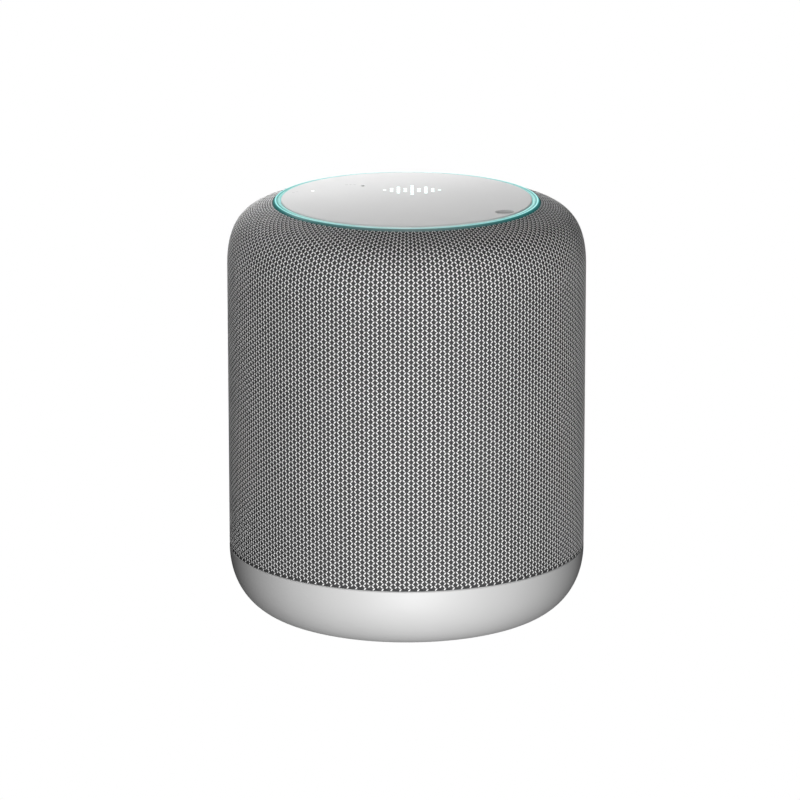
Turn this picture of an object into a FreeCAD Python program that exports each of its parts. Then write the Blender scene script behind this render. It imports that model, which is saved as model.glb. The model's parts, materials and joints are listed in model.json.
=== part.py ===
import FreeCAD, Part
import math
import os

# A free-standing smart speaker: a drum wrapped in knitted fabric, on a satin bowl-shaped base,
# with a round touch panel and a glowing ring on top. Millimetres throughout. The origin is the
# centre of the foot where it meets the table, +Z is up and the front faces -Y.

os.makedirs("parts", exist_ok=True)

Vector = FreeCAD.Vector
centre = Vector(0, 0, 0)
up = Vector(0, 0, 1)

# Outside of the drum
body_radius = 65.0
seam_height = 24.5
shoulder_height = 129.35
mouth_radius = 48.8
mouth_height = 152.0
mouth_slope = math.radians(22.4)
shoulder_low_pull = 20.4
shoulder_top_pull = 5.8
shoulder_mean_radius = 21.6
seam_gap = 0.2

# Skin: fabric, then the perforated cage just inside it
fabric_thickness = 0.8
cage_inset = 1.0
cage_thickness = 1.4
cage_low = seam_height + 2.8
cage_mouth_radius = 52.0
cage_columns = 32
cage_slot_width = 7.0
cage_slot_height = 12.0
cage_slot_rows = (34.0, 49.5, 65.0, 80.5, 96.0, 111.5)

# Base bowl
bowl_floor = 1.0
bowl_floor_radius = 48.0
bowl_wall = 2.4
bowl_rim_pull = 15.56
bowl_floor_pull = 6.93
bowl_screw_circle = 36.0
bowl_screw_radius = 1.5
bowl_boss_radius = 4.6
foot_inner = 32.7
foot_outer = 39.5
foot_height = 1.7
foot_groove_slack = 0.2

# Electronics in the base
board_low = 8.0
board_thickness = 1.6
board_top = board_low + board_thickness
board_radius = 46.0
board_screw_circle = 30.0
jack_height = 14.1
jack_face = 60.0
jack_bore_radius = 3.0
jack_bore_depth = 10.0
jack_pin_radius = 1.05
jack_recess_radius = 5.0
jack_body_front = 57.5
jack_body_back = 45.5

# Sealed enclosure
enclosure_radius = 58.0
enclosure_wall = 2.5
enclosure_low = seam_height + seam_gap
enclosure_floor = 27.7
enclosure_top = 108.0
flange_radius = 61.6
flange_top = 26.9
gasket_thickness = 0.4
lid_low = enclosure_top + gasket_thickness
lid_top = 111.1
lid_hole_radius = 39.6
lid_screw_circle = 52.0
post_circle = 53.0
post_radius = 3.2

# Woofer, firing up
basket_radius = 43.0
basket_low = lid_top + 0.5
basket_top = basket_low + 1.8
cone_radius = 33.0
pole_radius = 12.35
former_radius = 12.65
gap_radius = 13.3
magnet_low = 66.5
magnet_high = 80.5
top_plate_high = 84.5
yoke_low = 62.0
woofer_screw_circle = 41.6

# Passive radiators, one on each side (+X and -X)
radiator_height = 68.0
pad_face = 50.0
radiator_frame_radius = 28.6
radiator_window = 23.8
radiator_plate_radius = 20.1
radiator_screw_circle = 26.9
frame_face = pad_face + 2.0

# Deflector and top frame
lens_plate_low = 131.0
lens_plate_top = 133.5
lens_radius = 57.0
frame_floor_low = 143.8
frame_floor_top = 145.3
frame_radius = 50.3
frame_wall_inner = 48.95
frame_wall_top = 150.0
frame_screw_circle = 44.0

# Top board and what stands on it
top_board_low = 146.8
top_board_top = 148.0
top_board_radius = 48.6
top_board_screw_circle = 40.0
top_board_screw_turn = 75.0

# Light ring and touch panel
ring_outer = 48.4
ring_inner = 45.6
ring_low = 150.5
ring_crest = 152.9
ring_led_circle = 47.0
ring_led_count = 24
panel_radius = 45.4
panel_low = 150.8
panel_rim_height = 153.2
panel_dish = 0.5
film_low = 150.4
film_high = 150.75

# Marks on the panel
key_place = (35.0, -21.3)
key_radius = 3.0
key_hole_radius = 3.2
key_top = 152.2
key_cap_low = 150.6
key_flange_low = 149.95
key_flange_radius = 3.7
microphone_place = (-16.05, 23.0)
microphone_hole_radius = 0.75
status_place = (-34.1, 13.7)
status_radius = 0.6
dot_centre = (2.0, 16.3)
dot_radius = 0.65
dot_column_pitch = 2.5
dot_row_pitch = 2.3
dot_columns = (1, 3, 5, 3, 7, 3, 5, 3, 1)


def rod(radius, low, high, at=(0, 0)):
    return Part.makeCylinder(radius, high - low, Vector(at[0], at[1], low))


def ring(inner, outer, low, high, at=(0, 0)):
    return rod(outer, low, high, at).cut(rod(inner, low, high, at))


def block(width, depth, low, high, at=(0, 0)):
    corner = Vector(at[0] - width / 2, at[1] - depth / 2, low)
    return Part.makeBox(width, depth, high - low, corner)


def spun(shape, degrees):
    turned_copy = shape.copy()
    turned_copy.rotate(centre, up, degrees)
    return turned_copy


def around(count, radius, first=0.0):
    places = []
    for step in range(count):
        angle = math.radians(first + step * 360.0 / count)
        places.append((radius * math.cos(angle), radius * math.sin(angle)))
    return places


def lines(points):
    corners = [Vector(radius, 0, height) for radius, height in points]
    return Part.makePolygon(corners).Edges


def curve(points):
    bezier = Part.BezierCurve()
    bezier.setPoles([Vector(radius, 0, height) for radius, height in points])
    return bezier.toShape()


def arc(first, middle, last):
    corners = [Vector(radius, 0, height) for radius, height in (first, middle, last)]
    return Part.Arc(*corners).toShape()


def turned(edges):
    # A closed outline, as radius and height, turned once round the Z axis.
    return Part.Face(Part.Wire(Part.__sortEdges__(edges))).revolve(centre, up, 360)


def turned_outline(points):
    return turned(lines(list(points) + [points[0]]))


def joined(shapes):
    return shapes[0].multiFuse(shapes[1:]).removeSplitter()


def group(shapes):
    return Part.makeCompound(shapes)


def laid(shape, side):
    # Turns a shape made round the Z axis to face +X (side 1) or -X (side -1) at radiator height.
    turned_copy = shape.copy()
    turned_copy.rotate(centre, Vector(0, 1, 0), 90 * side)
    turned_copy.translate(Vector(0, 0, radiator_height))
    return turned_copy


def screw(place, seat, length, radius, pointing="down"):
    # Pan-head screw with a cross recess. Seat is the height where its head lands.
    head_radius = 1.8 * radius
    head_height = 1.3 * radius
    slot_low = seat + 0.5 * head_height
    slot_top = seat + head_height
    shank = rod(radius, seat - length, seat, place)
    head = rod(head_radius, seat, slot_top, place)
    wide_slot = block(1.3 * head_radius, 0.35 * radius, slot_low, slot_top, place)
    deep_slot = block(0.35 * radius, 1.3 * head_radius, slot_low, slot_top, place)
    shape = shank.fuse(head).cut(wide_slot.fuse(deep_slot))
    if pointing == "up":
        shape.rotate(Vector(place[0], place[1], seat), Vector(1, 0, 0), 180)
    return shape


def half_roll(lip_inner, roll_inner, roll_outer, lip_outer, height, thickness):
    # A flexible surround: a flat lip, a half-round roll and another flat lip.
    middle = (roll_inner + roll_outer) / 2
    outer_arc = (roll_outer - roll_inner) / 2
    inner_arc = outer_arc - thickness
    reach = math.sqrt(outer_arc ** 2 - thickness ** 2)
    top = height + thickness
    edges = lines([(lip_inner, height), (middle - inner_arc, height)])
    edges.append(arc((middle - inner_arc, height), (middle, height + inner_arc),
                     (middle + inner_arc, height)))
    edges += lines([(middle + inner_arc, height), (lip_outer, height), (lip_outer, top),
                    (middle + reach, top)])
    edges.append(arc((middle + reach, top), (middle, height + outer_arc), (middle - reach, top)))
    edges += lines([(middle - reach, top), (lip_inner, top), (lip_inner, height)])
    return turned(edges)


def shoulder_poles(inset):
    # Control points of the shoulder, from the straight side up to the mouth, set in by inset.
    shrink = 1 - inset / shoulder_mean_radius
    along = (math.cos(mouth_slope), -math.sin(mouth_slope))
    side = body_radius - inset
    mouth = (mouth_radius - inset * math.sin(mouth_slope),
             mouth_height - inset * math.cos(mouth_slope))
    reach = shoulder_top_pull * shrink
    return [(side, shoulder_height),
            (side, shoulder_height + shoulder_low_pull * shrink),
            (mouth[0] + reach * along[0], mouth[1] + reach * along[1]),
            mouth]


def skin(outer_inset, inner_inset, low):
    # A thin drum wall between two insets, open at the mouth and at the bottom.
    outer = shoulder_poles(outer_inset)
    inner = shoulder_poles(inner_inset)
    edges = [curve(outer), curve(inner)]
    edges += lines([outer[0], (outer[0][0], low), (inner[0][0], low), inner[0]])
    edges += lines([outer[3], inner[3]])
    return turned(edges)


def fabric_sleeve():
    return skin(0, fabric_thickness, seam_height + seam_gap)


def grille_cage():
    cage = skin(cage_inset, cage_inset + cage_thickness, cage_low)
    cage = cage.cut(rod(cage_mouth_radius, shoulder_height, ring_crest))
    slots = []
    for column in range(cage_columns):
        for low in cage_slot_rows:
            slot = block(8, cage_slot_width, low, low + cage_slot_height, (body_radius, 0))
            slots.append(spun(slot, column * 360 / cage_columns))
    return cage.cut(group(slots))


def sleeve_top_hoop():
    return ring(50.4, 51.6, 148.0, 150.0)


def sleeve_bottom_hoop():
    return ring(61.9, 64.0, seam_height + seam_gap + 0.05, cage_low - 0.2)


def bowl_outside():
    # The bowl's visible curve, from just under its rim down to the flat of its floor.
    rim = (body_radius, seam_height - 0.35)
    foot = (bowl_floor_radius, bowl_floor)
    return [rim, (rim[0], rim[1] - bowl_rim_pull), (foot[0] + bowl_floor_pull, foot[1]), foot]


def bowl_block():
    poles = bowl_outside()
    rim = poles[0]
    edges = [curve(poles)]
    edges += lines([poles[3], (0, bowl_floor), (0, rim[1]), rim])
    return turned(edges)


def bowl_outline():
    poles = bowl_outside()
    rim = poles[0]
    foot = poles[3]
    inside_rim = (body_radius - bowl_wall, seam_height)
    inside_floor = (bowl_floor_radius, bowl_floor + bowl_wall)
    inside_pull = 0.88
    edges = [curve(poles)]
    edges += lines([foot, (0, foot[1]), (0, inside_floor[1]), inside_floor])
    edges.append(curve([inside_floor, (inside_floor[0] + bowl_floor_pull * inside_pull, inside_floor[1]),
                        (inside_rim[0], inside_rim[1] - bowl_rim_pull * inside_pull), inside_rim]))
    edges += lines([inside_rim, (body_radius - 0.3, seam_height), rim])
    return edges


def facing_back(radius, front, back, height):
    # A round bar along +Y between two distances from the axis.
    return Part.makeCylinder(radius, back - front, Vector(0, front, height), Vector(0, 1, 0))


def base_shell():
    shell = turned(bowl_outline())
    inside = bowl_floor + bowl_wall
    screw_places = around(4, bowl_screw_circle, 45)
    post_places = around(4, board_screw_circle)
    bosses = [rod(bowl_boss_radius, inside - 0.4, enclosure_low, place) for place in screw_places]
    posts = [rod(3.0, inside - 0.4, board_low, place) for place in post_places]
    collar = facing_back(jack_recess_radius + 2.4, jack_body_front + 0.4, 66, jack_height)
    collar = collar.common(bowl_block())
    shell = joined([shell] + bosses + posts + [collar])
    cuts = [ring(foot_inner - foot_groove_slack, foot_outer + foot_groove_slack, 0, foot_height)]
    cuts.append(facing_back(jack_recess_radius, 50, 70, jack_height))
    for place in screw_places:
        cuts.append(rod(3.1, 0, 4.6, place))
        cuts.append(rod(bowl_screw_radius + 0.15, 0, 30, place))
    for place in post_places:
        cuts.append(rod(1.2, inside + 0.6, board_low, place))
    return shell.cut(group(cuts))


def base_screws():
    places = around(4, bowl_screw_circle, 45)
    return group([screw(place, 4.6, 27, bowl_screw_radius, "up") for place in places])


def rubber_foot():
    return ring(foot_inner, foot_outer, 0, foot_height)


def main_board():
    board = rod(board_radius, board_low, board_top)
    holes = [rod(bowl_boss_radius + 0.4, board_low, board_top, place)
             for place in around(4, bowl_screw_circle, 45)]
    holes += [rod(1.35, board_low, board_top, place) for place in around(4, board_screw_circle)]
    return board.cut(group(holes))


def board_screws():
    return group([screw(place, board_top, 5.2, 1.18) for place in around(4, board_screw_circle)])


def main_chips():
    amplifier = block(10, 10, board_top, board_top + 1.5, (-14, 6))
    processor = block(12, 12, board_top, board_top + 1.4, (9.5, -12.5))
    memory = block(9, 7, board_top, board_top + 1.0, (14, 2))
    radio = block(8, 8, board_top, board_top + 1.2, (22, -12.5))
    converter = block(6, 5, board_top, board_top + 1.1, (14, 30))
    return group([amplifier, processor, memory, radio, converter])


def rf_shield():
    outside = block(26, 16, board_top, board_top + 2.8, (15, -12.5))
    inside = block(25.2, 15.2, board_top, board_top + 2.4, (15, -12.5))
    return outside.cut(inside)


def heat_sink():
    low = board_top + 1.5
    base = block(26, 24, low, low + 1.6, (-14, 6))
    fins = [block(1.0, 24, low, low + 9.5, (-26.4 + 3.1 * step, 6)) for step in range(9)]
    return joined([base] + fins)


def capacitors():
    places = [(-10, -14), (-10, -23.5), (-19, -15)]
    return group([rod(4.0, board_top, board_top + 11.5, place) for place in places])


def dc_jack():
    width = 9.0
    length = jack_body_front - jack_body_back
    middle = (jack_body_front + jack_body_back) / 2
    body = block(width, length, board_top, jack_height + 4.5, (0, middle))
    nose = facing_back(4.6, jack_body_front - 0.5, jack_face, jack_height)
    bore = facing_back(jack_bore_radius, jack_face - jack_bore_depth, jack_face, jack_height)
    root = facing_back(1.4, jack_face - jack_bore_depth - 2.5, jack_face, jack_height)
    return body.fuse(nose).cut(bore).cut(root).removeSplitter()


def jack_pin():
    bore_end = jack_face - jack_bore_depth
    root = facing_back(1.35, bore_end - 2.5, bore_end, jack_height)
    return root.fuse(facing_back(jack_pin_radius, bore_end, jack_face - 0.6, jack_height))


def ribbon_runs():
    # The flat cable's straight runs: each is (from y, from z, to y, to z).
    return [(-38.5, 11.0, -50.0, 11.0), (-50.0, 11.0, -50.0, 21.5), (-50.0, 21.5, -60.4, 21.5),
            (-60.4, 21.5, -60.4, 138.0), (-60.4, 138.0, -44.0, 138.0), (-44.0, 138.0, -44.0, top_board_low - 1.3)]


def ribbon_cable():
    half = 0.2
    runs = []
    for from_y, from_z, to_y, to_z in ribbon_runs():
        low_y = min(from_y, to_y) - half
        low_z = min(from_z, to_z) - half
        deep = abs(to_y - from_y) + 2 * half
        tall = abs(to_z - from_z) + 2 * half
        runs.append(Part.makeBox(12, deep, tall, Vector(-6, low_y, low_z)))
    return joined(runs)


def ribbon_connectors():
    lower = block(14, 4.5, board_top, board_top + 2.6, (0, -36.0))
    upper = block(14, 4.5, top_board_low - 1.1, top_board_low, (0, -44.0))
    return group([lower, upper])


def side_boxes(face, low, high):
    # Everything further out than face on both sides, between two heights.
    reach = 30
    right = Part.makeBox(reach, 160, high - low, Vector(face, -80, low))
    left = Part.makeBox(reach, 160, high - low, Vector(-face - reach, -80, low))
    return right.fuse(left)


def enclosure_body():
    pad_low = radiator_height - 30
    pad_high = radiator_height + 30
    outside = rod(enclosure_radius, enclosure_low, enclosure_top)
    outside = outside.cut(side_boxes(pad_face, pad_low, pad_high))
    outside = outside.fuse(rod(flange_radius, enclosure_low, flange_top))
    inside = rod(enclosure_radius - enclosure_wall, enclosure_floor, enclosure_top)
    inside = inside.cut(side_boxes(pad_face - enclosure_wall, pad_low - 2.5, pad_high + 2.5))
    shell = outside.cut(inside)
    base_bosses = [rod(4.0, enclosure_floor - 0.2, 36, place) for place in around(4, bowl_screw_circle, 45)]
    lid_bosses = [rod(3.6, 96, enclosure_top, place) for place in around(4, lid_screw_circle, 45)]
    shell = joined([shell] + base_bosses + lid_bosses)
    cuts = [rod(bowl_screw_radius + 0.03, enclosure_low, 34.5, place)
            for place in around(4, bowl_screw_circle, 45)]
    cuts += [rod(1.53, 98, enclosure_top, place) for place in around(4, lid_screw_circle, 45)]
    cuts += [rod(0.85, enclosure_low, enclosure_floor, place) for place in lead_places()]
    cuts.append(block(13, 4, enclosure_low, flange_top, (0, -61.4)))
    for side in (1, -1):
        cuts.append(laid(rod(radiator_window, 40, pad_face), side))
        for place in around(4, radiator_screw_circle, 45):
            cuts.append(laid(rod(1.03, pad_face - enclosure_wall, pad_face, place), side))
    return shell.cut(group(cuts))


def enclosure_gasket():
    return ring(55.7, 57.8, enclosure_top, lid_low)


def enclosure_lid():
    lid = ring(lid_hole_radius, enclosure_radius, lid_low, lid_top)
    posts = [rod(post_radius, lid_top - 0.3, lens_plate_low, place) for place in around(4, post_circle)]
    lid = joined([lid] + posts)
    cuts = [rod(1.7, lid_low, lid_top, place) for place in around(4, lid_screw_circle, 45)]
    cuts += [rod(1.03, lid_low, lid_top, place) for place in around(4, woofer_screw_circle, 22.5)]
    cuts += [rod(1.23, lens_plate_low - 9, lens_plate_low, place) for place in around(4, post_circle)]
    return lid.cut(group(cuts))


def lid_screws():
    return group([screw(place, lid_top, 11, 1.5) for place in around(4, lid_screw_circle, 45)])


def woofer_gasket():
    foam = ring(39.8, basket_radius, lid_top, basket_low)
    return foam.cut(group([rod(1.2, lid_top, basket_low, place)
                           for place in around(4, woofer_screw_circle, 22.5)]))


def woofer_basket():
    wall = 1.5
    foot = top_plate_high + 1.6
    basket = turned_outline([(basket_radius, basket_top), (38.0, basket_top), (34.5, 104.0), (27.5, 92.0),
                             (24.5, 92.0), (24.5, 90.4), (26.0, 90.4), (26.0, foot), (14.5, foot),
                             (14.5, top_plate_high), (28.0, top_plate_high), (28.0, 90.4),
                             (34.5 + wall, 103.2), (39.3, basket_low), (basket_radius, basket_low)])
    windows = []
    for step in range(4):
        opening = Part.makeBox(20, 22, 11, Vector(26.5, -11, 94))
        windows.append(spun(opening, 67.5 + 90 * step))
    basket = basket.cut(group(windows))
    tag = spun(Part.makeBox(7.5, 8, 1.6, Vector(29.5, -4, 92.0)), 17.5)
    basket = basket.fuse(tag).removeSplitter()
    return basket.cut(group([rod(1.2, basket_low, basket_top, place)
                             for place in around(4, woofer_screw_circle, 22.5)]))


def woofer_screws():
    return group([screw(place, basket_top, 4.6, 1.0) for place in around(4, woofer_screw_circle, 22.5)])


def woofer_yoke():
    pole = rod(pole_radius, yoke_low, top_plate_high)
    yoke = rod(28.0, yoke_low, magnet_low).fuse(pole)
    return yoke.cut(rod(4.0, yoke_low, top_plate_high)).removeSplitter()


def woofer_magnet():
    return ring(16.0, 31.0, magnet_low, magnet_high)


def woofer_top_plate():
    return ring(gap_radius, 28.5, magnet_high, top_plate_high)


def coil_former():
    return ring(former_radius, former_radius + 0.2, 77.0, 98.0)


def voice_coil():
    return ring(former_radius + 0.22, former_radius + 0.45, 79.0, 86.0)


def woofer_cone():
    wall = 0.8
    neck = former_radius + 0.3
    return turned_outline([(neck, 97.0), (neck + 2.2, 97.0), (24.0, 105.0), (cone_radius, basket_top),
                           (cone_radius - 0.6, basket_top + 0.5), (23.3, 105.0 + wall), (neck, 98.2)])


def dust_cap():
    # A shallow dome cut from a hollow ball.
    rim = former_radius + 0.1
    rise = 3.7
    thickness = 0.7
    foot = 98.2
    ball_radius = (rim ** 2 + rise ** 2) / (2 * rise)
    middle = Vector(0, 0, foot + rise + thickness - ball_radius)
    hollow_ball = Part.makeSphere(ball_radius, middle).cut(Part.makeSphere(ball_radius - thickness, middle))
    return hollow_ball.common(rod(rim, foot, foot + rise + thickness + 1))


def woofer_surround():
    return half_roll(cone_radius + 0.3, 34.0, 38.2, 39.6, basket_top, 0.6)


def woofer_spider():
    return turned_outline([(13.5, 92.1), (15.5, 92.1), (16.5, 92.9), (18.0, 92.1), (19.5, 92.9), (21.0, 92.1),
                           (22.5, 92.9), (24.0, 92.1), (26.5, 92.1), (26.5, 92.6), (24.2, 92.6),
                           (22.5, 93.5), (21.0, 92.7), (19.5, 93.5), (18.0, 92.7), (16.5, 93.5),
                           (15.3, 92.6), (13.5, 92.6)])


def lead_places():
    return [(34.2, 9.2), (33.3, 12.2)]


def woofer_leads():
    return group([rod(0.8, board_top, 92.0, place) for place in lead_places()])


def radiator_frame(side):
    frame = ring(radiator_window, radiator_frame_radius, pad_face, frame_face)
    holes = [rod(1.15, pad_face, frame_face, place) for place in around(4, radiator_screw_circle, 45)]
    return laid(frame.cut(group(holes)), side)


def radiator_surround(side):
    return laid(half_roll(radiator_plate_radius + 0.3, 20.8, 24.2, 25.0, frame_face, 0.5), side)


def radiator_plate(side):
    plate = rod(radiator_plate_radius, frame_face - 0.8, frame_face + 0.6)
    mass = rod(11.0, pad_face - 4.5, frame_face)
    dimple = rod(9.0, frame_face + 0.2, frame_face + 0.6)
    return laid(plate.fuse(mass).cut(dimple).removeSplitter(), side)


def radiator_screws():
    screws = []
    for side in (1, -1):
        for place in around(4, radiator_screw_circle, 45):
            screws.append(laid(screw(place, frame_face, 4.4, 1.0), side))
    return group(screws)


def acoustic_lens():
    edges = [curve([(0, 119.5), (16, 121.0), (30, 130.4), (49, lens_plate_low)])]
    edges += lines([(49, lens_plate_low), (lens_radius, lens_plate_low), (lens_radius, lens_plate_top),
                    (40, lens_plate_top)])
    edges.append(curve([(40, lens_plate_top), (26, lens_plate_top), (13, 123.5), (0, 122.2)]))
    edges += lines([(0, 122.2), (0, 119.5)])
    lens = turned(edges)
    cuts = [rod(1.35, lens_plate_low - 3, lens_plate_top, place) for place in around(4, post_circle)]
    cuts += [rod(1.35, lens_plate_low - 3, lens_plate_top, place) for place in around(4, frame_screw_circle, 30)]
    cuts += [rod(2.4, lens_plate_low - 3, lens_plate_low + 0.4, place)
             for place in around(4, frame_screw_circle, 30)]
    return lens.cut(group(cuts))


def lens_screws():
    return group([screw(place, lens_plate_top, 9, 1.2) for place in around(4, post_circle)])


def top_frame():
    floor = rod(frame_radius, frame_floor_low, frame_floor_top)
    wall = ring(frame_wall_inner, frame_radius, frame_floor_low, frame_wall_top)
    legs = [rod(3.2, lens_plate_top, frame_floor_low + 0.3, place)
            for place in around(4, frame_screw_circle, 30)]
    posts = [rod(2.5, frame_floor_top - 0.2, top_board_low, place)
             for place in around(4, top_board_screw_circle, top_board_screw_turn)]
    frame = joined([floor, wall] + legs + posts)
    cuts = [rod(1.23, lens_plate_top, frame_floor_low - 1, place)
            for place in around(4, frame_screw_circle, 30)]
    cuts += [rod(1.03, frame_floor_low + 0.4, top_board_low, place)
             for place in around(4, top_board_screw_circle, top_board_screw_turn)]
    cuts.append(block(15, 6, frame_floor_low, frame_floor_top, (0, -44.0)))
    return frame.cut(group(cuts))


def top_frame_screws():
    seat = lens_plate_low + 0.4
    return group([screw(place, seat, 8, 1.2, "up") for place in around(4, frame_screw_circle, 30)])


def wifi_antennas():
    return group([block(1.2, 18, lens_plate_top, lens_plate_top + 6, (x, -5)) for x in (-45, 45)])


def top_board():
    board = rod(top_board_radius, top_board_low, top_board_top)
    holes = [rod(1.2, top_board_low, top_board_top, place)
             for place in around(4, top_board_screw_circle, top_board_screw_turn)]
    return board.cut(group(holes))


def top_board_screws():
    places = around(4, top_board_screw_circle, top_board_screw_turn)
    return group([screw(place, top_board_top, 3.4, 1.0) for place in places])


def dot_places():
    # Nine columns of round dots, in the rising and falling heights of a level meter.
    places = []
    middle = (len(dot_columns) - 1) / 2
    for column, count in enumerate(dot_columns):
        x = dot_centre[0] + (column - middle) * dot_column_pitch
        for row in range(count):
            y = dot_centre[1] + (row - (count - 1) / 2) * dot_row_pitch
            places.append((x, y))
    return places


def panel_height(place):
    # Height of the panel's dished face, which is lowest at its centre.
    rise = (place[0] ** 2 + place[1] ** 2) / panel_radius ** 2
    return panel_rim_height - panel_dish * (1 - rise)


def board_leds():
    leds = []
    for step in range(ring_led_count):
        led = block(2.0, 2.0, top_board_top, top_board_top + 0.8, (ring_led_circle, 0))
        leds.append(spun(led, (step + 0.5) * 360 / ring_led_count))
    for place in dot_places() + [status_place]:
        leds.append(block(1.1, 1.1, top_board_top, top_board_top + 0.5, place))
    return group(leds)


def ring_reflector():
    low = top_board_top + 0.05
    high = ring_low - 0.05
    cells = []
    for step in range(ring_led_count):
        cell = block(2.6, 8.6, low, high, (ring_led_circle, 0))
        cells.append(spun(cell, (step + 0.5) * 360 / ring_led_count))
    return ring(45.3, top_board_radius, low, high).cut(group(cells))


def light_ring():
    # A sloping outer wall, a crest, a shallow groove and a flat inner band.
    return turned_outline([(ring_inner, ring_low), (ring_outer, ring_low), (ring_outer, 151.85),
                           (48.1, 152.35), (47.75, 152.72), (47.5, ring_crest), (47.2, ring_crest),
                           (47.0, 152.7), (46.85, 152.62), (46.7, 152.7), (46.45, 152.86),
                           (45.9, 152.88), (ring_inner, 152.7)])


def led_dots():
    return group([rod(dot_radius, top_board_top + 0.7, panel_height(place), place) for place in dot_places()])


def status_lens():
    return rod(status_radius, top_board_top + 0.7, panel_height(status_place), status_place)


def touch_film():
    film = rod(44.8, film_low, film_high)
    holes = [rod(0.8, film_low, film_high, place) for place in dot_places() + [status_place]]
    holes.append(rod(4.1, film_low, film_high, key_place))
    holes.append(rod(2.2, film_low, film_high, microphone_place))
    return film.cut(group(holes))


def top_panel():
    sphere_radius = (panel_radius ** 2 + panel_dish ** 2) / (2 * panel_dish)
    sphere_centre = Vector(0, 0, panel_rim_height - panel_dish + sphere_radius)
    blank = turned_outline([(0, panel_low), (panel_radius, panel_low), (panel_radius, panel_rim_height - 0.5),
                            (panel_radius - 0.15, panel_rim_height - 0.28),
                            (panel_radius - 0.5, panel_rim_height - 0.1),
                            (panel_radius - 1.1, panel_rim_height), (0, panel_rim_height)])
    panel = blank.cut(Part.makeSphere(sphere_radius, sphere_centre))
    holes = [rod(dot_radius + 0.03, panel_low, panel_rim_height, place) for place in dot_places()]
    holes.append(rod(status_radius + 0.03, panel_low, panel_rim_height, status_place))
    holes.append(rod(microphone_hole_radius, panel_low, panel_rim_height, microphone_place))
    holes.append(rod(key_hole_radius, panel_low, panel_rim_height, key_place))
    return panel.cut(group(holes))


def action_key():
    cap = rod(key_radius, key_cap_low, key_top, key_place)
    flange = rod(key_flange_radius, key_flange_low, key_cap_low, key_place)
    ball_radius = 14.0
    ball_centre = Vector(key_place[0], key_place[1], key_top + ball_radius - 0.22)
    return cap.fuse(flange).removeSplitter().cut(Part.makeSphere(ball_radius, ball_centre))


def key_switch():
    body = block(5.2, 5.2, top_board_top, top_board_top + 1.2, key_place)
    return body.cut(rod(1.3, top_board_top + 0.5, top_board_top + 1.2, key_place))


def switch_plunger():
    return rod(1.2, top_board_top + 0.95, key_flange_low, key_place)


def microphone():
    return block(3.5, 2.65, top_board_top, top_board_top + 1.05, microphone_place)


def mic_gasket():
    return ring(0.8, 2.0, top_board_top + 1.05, film_high, microphone_place)


parts = {
    "rubber_foot": rubber_foot(),
    "base_shell": base_shell(),
    "base_screws": base_screws(),
    "main_board": main_board(),
    "board_screws": board_screws(),
    "main_chips": main_chips(),
    "rf_shield": rf_shield(),
    "heat_sink": heat_sink(),
    "capacitors": capacitors(),
    "dc_jack": dc_jack(),
    "jack_pin": jack_pin(),
    "ribbon_cable": ribbon_cable(),
    "ribbon_connectors": ribbon_connectors(),
    "enclosure_body": enclosure_body(),
    "enclosure_gasket": enclosure_gasket(),
    "enclosure_lid": enclosure_lid(),
    "lid_screws": lid_screws(),
    "woofer_gasket": woofer_gasket(),
    "woofer_basket": woofer_basket(),
    "woofer_screws": woofer_screws(),
    "woofer_yoke": woofer_yoke(),
    "woofer_magnet": woofer_magnet(),
    "woofer_top_plate": woofer_top_plate(),
    "coil_former": coil_former(),
    "voice_coil": voice_coil(),
    "woofer_cone": woofer_cone(),
    "dust_cap": dust_cap(),
    "woofer_surround": woofer_surround(),
    "woofer_spider": woofer_spider(),
    "woofer_leads": woofer_leads(),
    "radiator_screws": radiator_screws(),
    "acoustic_lens": acoustic_lens(),
    "lens_screws": lens_screws(),
    "top_frame": top_frame(),
    "top_frame_screws": top_frame_screws(),
    "wifi_antennas": wifi_antennas(),
    "top_board": top_board(),
    "top_board_screws": top_board_screws(),
    "board_leds": board_leds(),
    "ring_reflector": ring_reflector(),
    "light_ring": light_ring(),
    "led_dots": led_dots(),
    "status_lens": status_lens(),
    "touch_film": touch_film(),
    "top_panel": top_panel(),
    "action_key": action_key(),
    "key_switch": key_switch(),
    "switch_plunger": switch_plunger(),
    "microphone": microphone(),
    "mic_gasket": mic_gasket(),
    "grille_cage": grille_cage(),
    "sleeve_top_hoop": sleeve_top_hoop(),
    "sleeve_bottom_hoop": sleeve_bottom_hoop(),
    "fabric_sleeve": fabric_sleeve(),
}
for side_name, side in (("left", -1), ("right", 1)):
    parts["radiator_frame_" + side_name] = radiator_frame(side)
    parts["radiator_surround_" + side_name] = radiator_surround(side)
    parts["radiator_plate_" + side_name] = radiator_plate(side)

for name, shape in parts.items():
    shape.exportStep("parts/" + name + ".step")
    print(name, len(shape.Solids), shape.isValid(), round(shape.Volume, 1))
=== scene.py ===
import json
import math

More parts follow.
